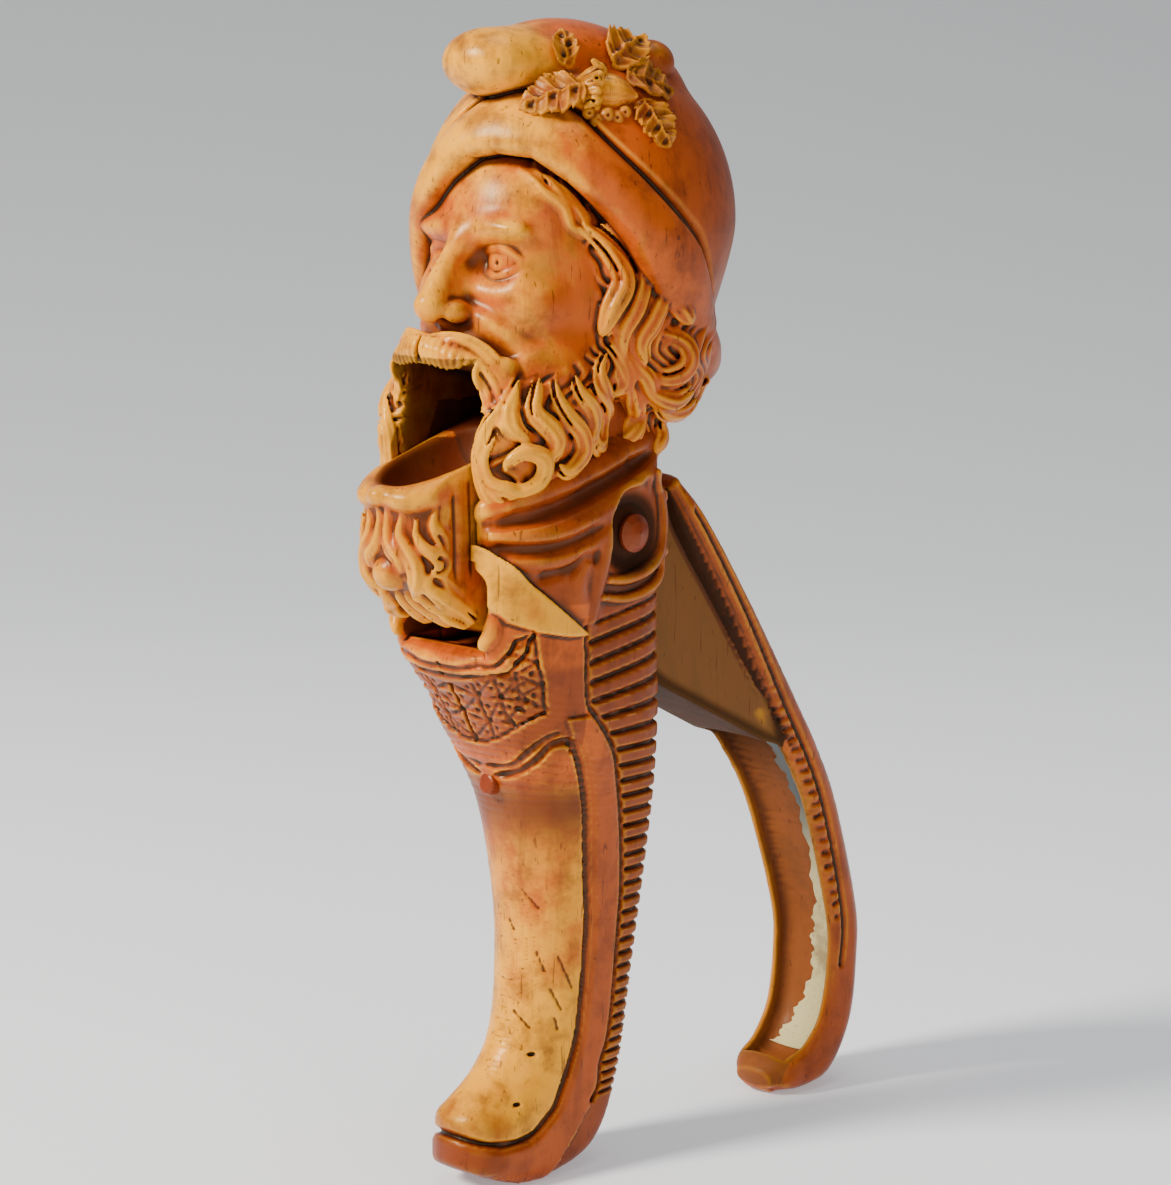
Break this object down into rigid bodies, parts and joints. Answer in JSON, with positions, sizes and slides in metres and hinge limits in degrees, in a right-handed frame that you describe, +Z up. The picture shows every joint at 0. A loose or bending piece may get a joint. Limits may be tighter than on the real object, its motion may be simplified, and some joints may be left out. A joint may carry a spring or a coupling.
{
  "type": "lever nutcracker",
  "caption": "Figural lever nutcracker carved in wood: a capped, bearded head whose lower jaw is one end of a pivoted lever, with the rear handle at the other end.",
  "frame": {"origin": "bottom centre of the bounding box, on the plane that both handle ends stand on", "axes": "+Z up, the face looks along -Y, and the pivot pin runs along X with its domed head at +X, the figure's left"},
  "size_m": [0.0494, 0.116, 0.2],
  "materials": {
    "boxwood": "hand-polished boxwood with dark patina in the hollows",
    "fruitwood": "dark reddish polished wood",
    "sprig_nut": "golden polished boxwood",
    "sprig_leaf": "boxwood, darker and less polished",
    "old_paper": "matt stained paper, torn at the edges"
  },
  "bodies": {
    "figure": {"body_carving": "boxwood", "pivot_pin": "fruitwood", "pin_cap": "fruitwood", "button_peg": "fruitwood", "hazelnut": "sprig_nut", "nut_husk": "sprig_leaf", "leaf_front": "sprig_leaf", "leaf_top": "sprig_leaf", "leaf_back": "sprig_leaf", "leaf_side": "sprig_leaf", "catkin": "sprig_leaf"},
    "lever": {"lever_carving": "boxwood", "paper_label": "old_paper"}
  },
  "joints": [
    {"name": "jaw_hinge", "type": "hinge", "parent": "figure", "child": "lever", "pos_m": [0, -0.016, 0.1147], "axis": [-1, 0, 0], "range_deg": [-6, 26]}
  ]
}
